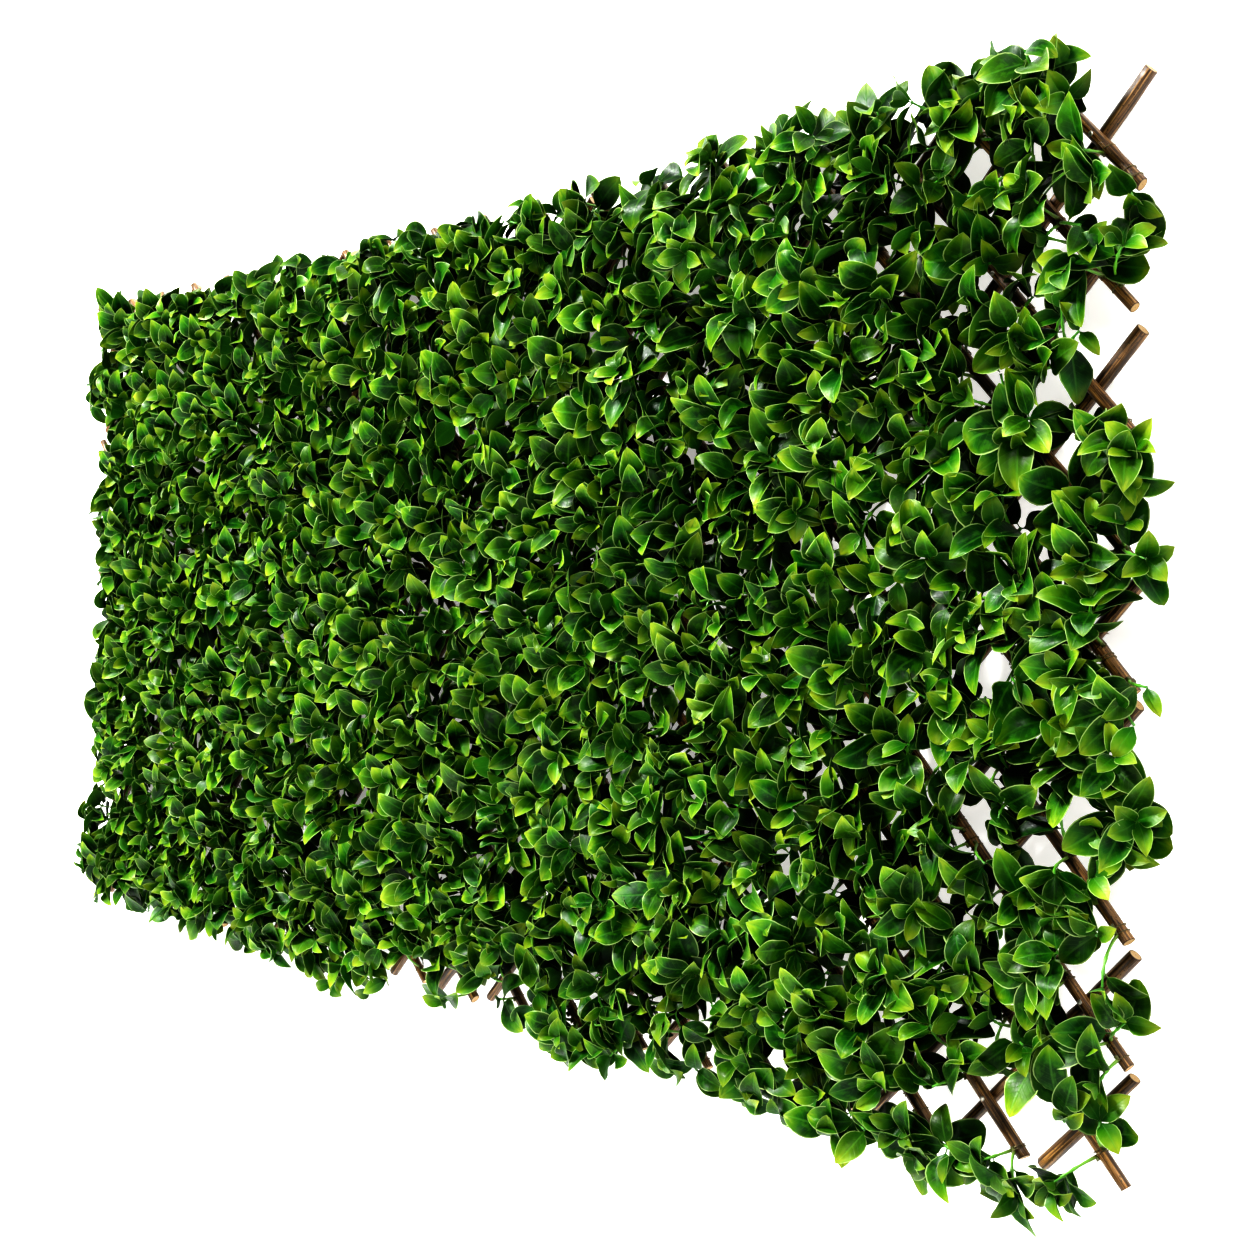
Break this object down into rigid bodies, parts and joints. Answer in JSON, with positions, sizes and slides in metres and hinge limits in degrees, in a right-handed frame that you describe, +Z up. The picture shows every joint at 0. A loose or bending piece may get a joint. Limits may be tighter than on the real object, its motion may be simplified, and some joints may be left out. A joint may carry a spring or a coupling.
{
  "type": "artificial hedge trellis",
  "caption": "Expanding willow trellis panel: two layers of bark-covered rods nailed in diamonds that fold like scissors, with rows of artificial laurel leaf sprays on the front.",
  "frame": {"origin": "the nail at the middle crossing of the panel, on the plane where the front and back rods meet", "axes": "+X along the panel's width, to the right seen from the leafy side; +Z up; +Y towards the wall, so the leaves face -Y"},
  "size_m": [2.0326, 0.0817, 1.0576],
  "materials": {
    "front_bark": "satin",
    "back_bark": "satin",
    "nail": "satin",
    "leaf": "satin"
  },
  "bodies": {
    "centre_nail": {"centre_nail": "nail"},
    "front_rod_01": {"front_rod_01": "front_bark"},
    "front_rod_02": {"front_rod_02": "front_bark"},
    "front_rod_03": {"front_rod_03": "front_bark"},
    "front_rod_04": {"front_rod_04": "front_bark", "leaf_row_1": "leaf"},
    "front_rod_05": {"front_rod_05": "front_bark"},
    "front_rod_06": {"front_rod_06": "front_bark"},
    "front_rod_07": {"front_rod_07": "front_bark"},
    "front_rod_08": {"front_rod_08": "front_bark"},
    "front_rod_09": {"front_rod_09": "front_bark", "leaf_row_2": "leaf"},
    "front_rod_10": {"front_rod_10": "front_bark"},
    "front_rod_11": {"front_rod_11": "front_bark"},
    "front_rod_12": {"front_rod_12": "front_bark"},
    "front_rod_13": {"front_rod_13": "front_bark"},
    "front_rod_14": {"front_rod_14": "front_bark", "leaf_row_3": "leaf"},
    "front_rod_15": {"front_rod_15": "front_bark"},
    "front_rod_16": {"front_rod_16": "front_bark"},
    "front_rod_17": {"front_rod_17": "front_bark"},
    "front_rod_18": {"front_rod_18": "front_bark"},
    "front_rod_19": {"front_rod_19": "front_bark", "leaf_row_4": "leaf"},
    "front_rod_20": {"front_rod_20": "front_bark"},
    "front_rod_21": {"front_rod_21": "front_bark"},
    "front_rod_22": {"front_rod_22": "front_bark"},
    "front_rod_23": {"front_rod_23": "front_bark"},
    "front_rod_24": {"front_rod_24": "front_bark", "leaf_row_5": "leaf"},
    "front_rod_25": {"front_rod_25": "front_bark"},
    "front_rod_26": {"front_rod_26": "front_bark"},
    "front_rod_27": {"front_rod_27": "front_bark"},
    "back_rod_01": {"back_rod_01": "back_bark"},
    "back_rod_02": {"back_rod_02": "back_bark"},
    "back_rod_03": {"back_rod_03": "back_bark"},
    "back_rod_04": {"back_rod_04": "back_bark"},
    "back_rod_05": {"back_rod_05": "back_bark"},
    "back_rod_06": {"back_rod_06": "back_bark"},
    "back_rod_07": {"back_rod_07": "back_bark"},
    "back_rod_08": {"back_rod_08": "back_bark"},
    "back_rod_09": {"back_rod_09": "back_bark"},
    "back_rod_10": {"back_rod_10": "back_bark"},
    "back_rod_11": {"back_rod_11": "back_bark"},
    "back_rod_12": {"back_rod_12": "back_bark"},
    "back_rod_13": {"back_rod_13": "back_bark"},
    "back_rod_14": {"back_rod_14": "back_bark"},
    "back_rod_15": {"back_rod_15": "back_bark"},
    "back_rod_16": {"back_rod_16": "back_bark"},
    "back_rod_17": {"back_rod_17": "back_bark"},
    "back_rod_18": {"back_rod_18": "back_bark"},
    "back_rod_19": {"back_rod_19": "back_bark"},
    "back_rod_20": {"back_rod_20": "back_bark"},
    "back_rod_21": {"back_rod_21": "back_bark"},
    "back_rod_22": {"back_rod_22": "back_bark"},
    "back_rod_23": {"back_rod_23": "back_bark"},
    "back_rod_24": {"back_rod_24": "back_bark"},
    "back_rod_25": {"back_rod_25": "back_bark"},
    "back_rod_26": {"back_rod_26": "back_bark"},
    "back_rod_27": {"back_rod_27": "back_bark"}
  },
  "joints": [
    {"name": "scissor_fold", "type": "hinge", "parent": "centre_nail", "child": "front_rod_14", "pos_m": [0, 0, 0], "axis": [0, 1, 0], "range_deg": [-16, 33]},
    {"name": "pivot_back_rod_14", "type": "hinge", "parent": "centre_nail", "child": "back_rod_14", "pos_m": [0, 0, 0], "axis": [0, 1, 0], "range_deg": [-33, 16]},
    {"name": "pivot_front_rod_06", "type": "hinge", "parent": "back_rod_14", "child": "front_rod_06", "pos_m": [-0.41263, 0, -0.43556], "axis": [0, 1, 0], "range_deg": [-32, 66]},
    {"name": "pivot_front_rod_07", "type": "hinge", "parent": "back_rod_14", "child": "front_rod_07", "pos_m": [-0.36105, 0, -0.38111], "axis": [0, 1, 0], "range_deg": [-32, 66]},
    {"name": "pivot_front_rod_08", "type": "hinge", "parent": "back_rod_14", "child": "front_rod_08", "pos_m": [-0.30947, 0, -0.32667], "axis": [0, 1, 0], "range_deg": [-32, 66]},
    {"name": "pivot_front_rod_09", "type": "hinge", "parent": "back_rod_14", "child": "front_rod_09", "pos_m": [-0.25789, 0, -0.27222], "axis": [0, 1, 0], "range_deg": [-32, 66]},
    {"name": "pivot_front_rod_10", "type": "hinge", "parent": "back_rod_14", "child": "front_rod_10", "pos_m": [-0.20632, 0, -0.21778], "axis": [0, 1, 0], "range_deg": [-32, 66]},
    {"name": "pivot_front_rod_11", "type": "hinge", "parent": "back_rod_14", "child": "front_rod_11", "pos_m": [-0.15474, 0, -0.16333], "axis": [0, 1, 0], "range_deg": [-32, 66]},
    {"name": "pivot_front_rod_12", "type": "hinge", "parent": "back_rod_14", "child": "front_rod_12", "pos_m": [-0.10316, 0, -0.10889], "axis": [0, 1, 0], "range_deg": [-32, 66]},
    {"name": "pivot_front_rod_13", "type": "hinge", "parent": "back_rod_14", "child": "front_rod_13", "pos_m": [-0.05158, 0, -0.05444], "axis": [0, 1, 0], "range_deg": [-32, 66]},
    {"name": "pivot_front_rod_15", "type": "hinge", "parent": "back_rod_14", "child": "front_rod_15", "pos_m": [0.05158, 0, 0.05444], "axis": [0, 1, 0], "range_deg": [-32, 66]},
    {"name": "pivot_front_rod_16", "type": "hinge", "parent": "back_rod_14", "child": "front_rod_16", "pos_m": [0.10316, 0, 0.10889], "axis": [0, 1, 0], "range_deg": [-32, 66]},
    {"name": "pivot_front_rod_17", "type": "hinge", "parent": "back_rod_14", "child": "front_rod_17", "pos_m": [0.15474, 0, 0.16333], "axis": [0, 1, 0], "range_deg": [-32, 66]},
    {"name": "pivot_front_rod_18", "type": "hinge", "parent": "back_rod_14", "child": "front_rod_18", "pos_m": [0.20632, 0, 0.21778], "axis": [0, 1, 0], "range_deg": [-32, 66]},
    {"name": "pivot_front_rod_19", "type": "hinge", "parent": "back_rod_14", "child": "front_rod_19", "pos_m": [0.25789, 0, 0.27222], "axis": [0, 1, 0], "range_deg": [-32, 66]},
    {"name": "pivot_front_rod_20", "type": "hinge", "parent": "back_rod_14", "child": "front_rod_20", "pos_m": [0.30947, 0, 0.32667], "axis": [0, 1, 0], "range_deg": [-32, 66]},
    {"name": "pivot_front_rod_21", "type": "hinge", "parent": "back_rod_14", "child": "front_rod_21", "pos_m": [0.36105, 0, 0.38111], "axis": [0, 1, 0], "range_deg": [-32, 66]},
    {"name": "pivot_front_rod_22", "type": "hinge", "parent": "back_rod_14", "child": "front_rod_22", "pos_m": [0.41263, 0, 0.43556], "axis": [0, 1, 0], "range_deg": [-32, 66]},
    {"name": "pivot_back_rod_06", "type": "hinge", "parent": "front_rod_14", "child": "back_rod_06", "pos_m": [-0.41263, 0, 0.43556], "axis": [0, 1, 0], "range_deg": [-66, 32]},
    {"name": "pivot_back_rod_07", "type": "hinge", "parent": "front_rod_14", "child": "back_rod_07", "pos_m": [-0.36105, 0, 0.38111], "axis": [0, 1, 0], "range_deg": [-66, 32]},
    {"name": "pivot_back_rod_08", "type": "hinge", "parent": "front_rod_14", "child": "back_rod_08", "pos_m": [-0.30947, 0, 0.32667], "axis": [0, 1, 0], "range_deg": [-66, 32]},
    {"name": "pivot_back_rod_09", "type": "hinge", "parent": "front_rod_14", "child": "back_rod_09", "pos_m": [-0.25789, 0, 0.27222], "axis": [0, 1, 0], "range_deg": [-66, 32]},
    {"name": "pivot_back_rod_10", "type": "hinge", "parent": "front_rod_14", "child": "back_rod_10", "pos_m": [-0.20632, 0, 0.21778], "axis": [0, 1, 0], "range_deg": [-66, 32]},
    {"name": "pivot_back_rod_11", "type": "hinge", "parent": "front_rod_14", "child": "back_rod_11", "pos_m": [-0.15474, 0, 0.16333], "axis": [0, 1, 0], "range_deg": [-66, 32]},
    {"name": "pivot_back_rod_12", "type": "hinge", "parent": "front_rod_14", "child": "back_rod_12", "pos_m": [-0.10316, 0, 0.10889], "axis": [0, 1, 0], "range_deg": [-66, 32]},
    {"name": "pivot_back_rod_13", "type": "hinge", "parent": "front_rod_14", "child": "back_rod_13", "pos_m": [-0.05158, 0, 0.05444], "axis": [0, 1, 0], "range_deg": [-66, 32]},
    {"name": "pivot_back_rod_15", "type": "hinge", "parent": "front_rod_14", "child": "back_rod_15", "pos_m": [0.05158, 0, -0.05444], "axis": [0, 1, 0], "range_deg": [-66, 32]},
    {"name": "pivot_back_rod_16", "type": "hinge", "parent": "front_rod_14", "child": "back_rod_16", "pos_m": [0.10316, 0, -0.10889], "axis": [0, 1, 0], "range_deg": [-66, 32]},
    {"name": "pivot_back_rod_17", "type": "hinge", "parent": "front_rod_14", "child": "back_rod_17", "pos_m": [0.15474, 0, -0.16333], "axis": [0, 1, 0], "range_deg": [-66, 32]},
    {"name": "pivot_back_rod_18", "type": "hinge", "parent": "front_rod_14", "child": "back_rod_18", "pos_m": [0.20632, 0, -0.21778], "axis": [0, 1, 0], "range_deg": [-66, 32]},
    {"name": "pivot_back_rod_19", "type": "hinge", "parent": "front_rod_14", "child": "back_rod_19", "pos_m": [0.25789, 0, -0.27222], "axis": [0, 1, 0], "range_deg": [-66, 32]},
    {"name": "pivot_back_rod_20", "type": "hinge", "parent": "front_rod_14", "child": "back_rod_20", "pos_m": [0.30947, 0, -0.32667], "axis": [0, 1, 0], "range_deg": [-66, 32]},
    {"name": "pivot_back_rod_21", "type": "hinge", "parent": "front_rod_14", "child": "back_rod_21", "pos_m": [0.36105, 0, -0.38111], "axis": [0, 1, 0], "range_deg": [-66, 32]},
    {"name": "pivot_back_rod_22", "type": "hinge", "parent": "front_rod_14", "child": "back_rod_22", "pos_m": [0.41263, 0, -0.43556], "axis": [0, 1, 0], "range_deg": [-66, 32]},
    {"name": "pivot_front_rod_01", "type": "hinge", "parent": "back_rod_09", "child": "front_rod_01", "pos_m": [-0.92842, 0, -0.43556], "axis": [0, 1, 0], "range_deg": [-32, 66]},
    {"name": "pivot_front_rod_02", "type": "hinge", "parent": "back_rod_09", "child": "front_rod_02", "pos_m": [-0.87684, 0, -0.38111], "axis": [0, 1, 0], "range_deg": [-32, 66]},
    {"name": "pivot_front_rod_03", "type": "hinge", "parent": "back_rod_09", "child": "front_rod_03", "pos_m": [-0.82526, 0, -0.32667], "axis": [0, 1, 0], "range_deg": [-32, 66]},
    {"name": "pivot_front_rod_04", "type": "hinge", "parent": "back_rod_09", "child": "front_rod_04", "pos_m": [-0.77368, 0, -0.27222], "axis": [0, 1, 0], "range_deg": [-32, 66]},
    {"name": "pivot_front_rod_05", "type": "hinge", "parent": "back_rod_09", "child": "front_rod_05", "pos_m": [-0.72211, 0, -0.21778], "axis": [0, 1, 0], "range_deg": [-32, 66]},
    {"name": "pivot_front_rod_23", "type": "hinge", "parent": "back_rod_19", "child": "front_rod_23", "pos_m": [0.72211, 0, 0.21778], "axis": [0, 1, 0], "range_deg": [-32, 66]},
    {"name": "pivot_front_rod_24", "type": "hinge", "parent": "back_rod_19", "child": "front_rod_24", "pos_m": [0.77368, 0, 0.27222], "axis": [0, 1, 0], "range_deg": [-32, 66]},
    {"name": "pivot_front_rod_25", "type": "hinge", "parent": "back_rod_19", "child": "front_rod_25", "pos_m": [0.82526, 0, 0.32667], "axis": [0, 1, 0], "range_deg": [-32, 66]},
    {"name": "pivot_front_rod_26", "type": "hinge", "parent": "back_rod_19", "child": "front_rod_26", "pos_m": [0.87684, 0, 0.38111], "axis": [0, 1, 0], "range_deg": [-32, 66]},
    {"name": "pivot_front_rod_27", "type": "hinge", "parent": "back_rod_19", "child": "front_rod_27", "pos_m": [0.92842, 0, 0.43556], "axis": [0, 1, 0], "range_deg": [-32, 66]},
    {"name": "pivot_back_rod_01", "type": "hinge", "parent": "front_rod_09", "child": "back_rod_01", "pos_m": [-0.92842, 0, 0.43556], "axis": [0, 1, 0], "range_deg": [-66, 32]},
    {"name": "pivot_back_rod_02", "type": "hinge", "parent": "front_rod_09", "child": "back_rod_02", "pos_m": [-0.87684, 0, 0.38111], "axis": [0, 1, 0], "range_deg": [-66, 32]},
    {"name": "pivot_back_rod_03", "type": "hinge", "parent": "front_rod_09", "child": "back_rod_03", "pos_m": [-0.82526, 0, 0.32667], "axis": [0, 1, 0], "range_deg": [-66, 32]},
    {"name": "pivot_back_rod_04", "type": "hinge", "parent": "front_rod_09", "child": "back_rod_04", "pos_m": [-0.77368, 0, 0.27222], "axis": [0, 1, 0], "range_deg": [-66, 32]},
    {"name": "pivot_back_rod_05", "type": "hinge", "parent": "front_rod_09", "child": "back_rod_05", "pos_m": [-0.72211, 0, 0.21778], "axis": [0, 1, 0], "range_deg": [-66, 32]},
    {"name": "pivot_back_rod_23", "type": "hinge", "parent": "front_rod_19", "child": "back_rod_23", "pos_m": [0.72211, 0, -0.21778], "axis": [0, 1, 0], "range_deg": [-66, 32]},
    {"name": "pivot_back_rod_24", "type": "hinge", "parent": "front_rod_19", "child": "back_rod_24", "pos_m": [0.77368, 0, -0.27222], "axis": [0, 1, 0], "range_deg": [-66, 32]},
    {"name": "pivot_back_rod_25", "type": "hinge", "parent": "front_rod_19", "child": "back_rod_25", "pos_m": [0.82526, 0, -0.32667], "axis": [0, 1, 0], "range_deg": [-66, 32]},
    {"name": "pivot_back_rod_26", "type": "hinge", "parent": "front_rod_19", "child": "back_rod_26", "pos_m": [0.87684, 0, -0.38111], "axis": [0, 1, 0], "range_deg": [-66, 32]},
    {"name": "pivot_back_rod_27", "type": "hinge", "parent": "front_rod_19", "child": "back_rod_27", "pos_m": [0.92842, 0, -0.43556], "axis": [0, 1, 0], "range_deg": [-66, 32]}
  ],
  "couplings": [
    {"joint": "pivot_back_rod_14", "follows": "scissor_fold", "ratio": -1},
    {"joint": "pivot_front_rod_06", "follows": "scissor_fold", "ratio": 2},
    {"joint": "pivot_front_rod_07", "follows": "scissor_fold", "ratio": 2},
    {"joint": "pivot_front_rod_08", "follows": "scissor_fold", "ratio": 2},
    {"joint": "pivot_front_rod_09", "follows": "scissor_fold", "ratio": 2},
    {"joint": "pivot_front_rod_10", "follows": "scissor_fold", "ratio": 2},
    {"joint": "pivot_front_rod_11", "follows": "scissor_fold", "ratio": 2},
    {"joint": "pivot_front_rod_12", "follows": "scissor_fold", "ratio": 2},
    {"joint": "pivot_front_rod_13", "follows": "scissor_fold", "ratio": 2},
    {"joint": "pivot_front_rod_15", "follows": "scissor_fold", "ratio": 2},
    {"joint": "pivot_front_rod_16", "follows": "scissor_fold", "ratio": 2},
    {"joint": "pivot_front_rod_17", "follows": "scissor_fold", "ratio": 2},
    {"joint": "pivot_front_rod_18", "follows": "scissor_fold", "ratio": 2},
    {"joint": "pivot_front_rod_19", "follows": "scissor_fold", "ratio": 2},
    {"joint": "pivot_front_rod_20", "follows": "scissor_fold", "ratio": 2},
    {"joint": "pivot_front_rod_21", "follows": "scissor_fold", "ratio": 2},
    {"joint": "pivot_front_rod_22", "follows": "scissor_fold", "ratio": 2},
    {"joint": "pivot_back_rod_06", "follows": "scissor_fold", "ratio": -2},
    {"joint": "pivot_back_rod_07", "follows": "scissor_fold", "ratio": -2},
    {"joint": "pivot_back_rod_08", "follows": "scissor_fold", "ratio": -2},
    {"joint": "pivot_back_rod_09", "follows": "scissor_fold", "ratio": -2},
    {"joint": "pivot_back_rod_10", "follows": "scissor_fold", "ratio": -2},
    {"joint": "pivot_back_rod_11", "follows": "scissor_fold", "ratio": -2},
    {"joint": "pivot_back_rod_12", "follows": "scissor_fold", "ratio": -2},
    {"joint": "pivot_back_rod_13", "follows": "scissor_fold", "ratio": -2},
    {"joint": "pivot_back_rod_15", "follows": "scissor_fold", "ratio": -2},
    {"joint": "pivot_back_rod_16", "follows": "scissor_fold", "ratio": -2},
    {"joint": "pivot_back_rod_17", "follows": "scissor_fold", "ratio": -2},
    {"joint": "pivot_back_rod_18", "follows": "scissor_fold", "ratio": -2},
    {"joint": "pivot_back_rod_19", "follows": "scissor_fold", "ratio": -2},
    {"joint": "pivot_back_rod_20", "follows": "scissor_fold", "ratio": -2},
    {"joint": "pivot_back_rod_21", "follows": "scissor_fold", "ratio": -2},
    {"joint": "pivot_back_rod_22", "follows": "scissor_fold", "ratio": -2},
    {"joint": "pivot_front_rod_01", "follows": "scissor_fold", "ratio": 2},
    {"joint": "pivot_front_rod_02", "follows": "scissor_fold", "ratio": 2},
    {"joint": "pivot_front_rod_03", "follows": "scissor_fold", "ratio": 2},
    {"joint": "pivot_front_rod_04", "follows": "scissor_fold", "ratio": 2},
    {"joint": "pivot_front_rod_05", "follows": "scissor_fold", "ratio": 2},
    {"joint": "pivot_front_rod_23", "follows": "scissor_fold", "ratio": 2},
    {"joint": "pivot_front_rod_24", "follows": "scissor_fold", "ratio": 2},
    {"joint": "pivot_front_rod_25", "follows": "scissor_fold", "ratio": 2},
    {"joint": "pivot_front_rod_26", "follows": "scissor_fold", "ratio": 2},
    {"joint": "pivot_front_rod_27", "follows": "scissor_fold", "ratio": 2},
    {"joint": "pivot_back_rod_01", "follows": "scissor_fold", "ratio": -2},
    {"joint": "pivot_back_rod_02", "follows": "scissor_fold", "ratio": -2},
    {"joint": "pivot_back_rod_03", "follows": "scissor_fold", "ratio": -2},
    {"joint": "pivot_back_rod_04", "follows": "scissor_fold", "ratio": -2},
    {"joint": "pivot_back_rod_05", "follows": "scissor_fold", "ratio": -2},
    {"joint": "pivot_back_rod_23", "follows": "scissor_fold", "ratio": -2},
    {"joint": "pivot_back_rod_24", "follows": "scissor_fold", "ratio": -2},
    {"joint": "pivot_back_rod_25", "follows": "scissor_fold", "ratio": -2},
    {"joint": "pivot_back_rod_26", "follows": "scissor_fold", "ratio": -2},
    {"joint": "pivot_back_rod_27", "follows": "scissor_fold", "ratio": -2}
  ]
}
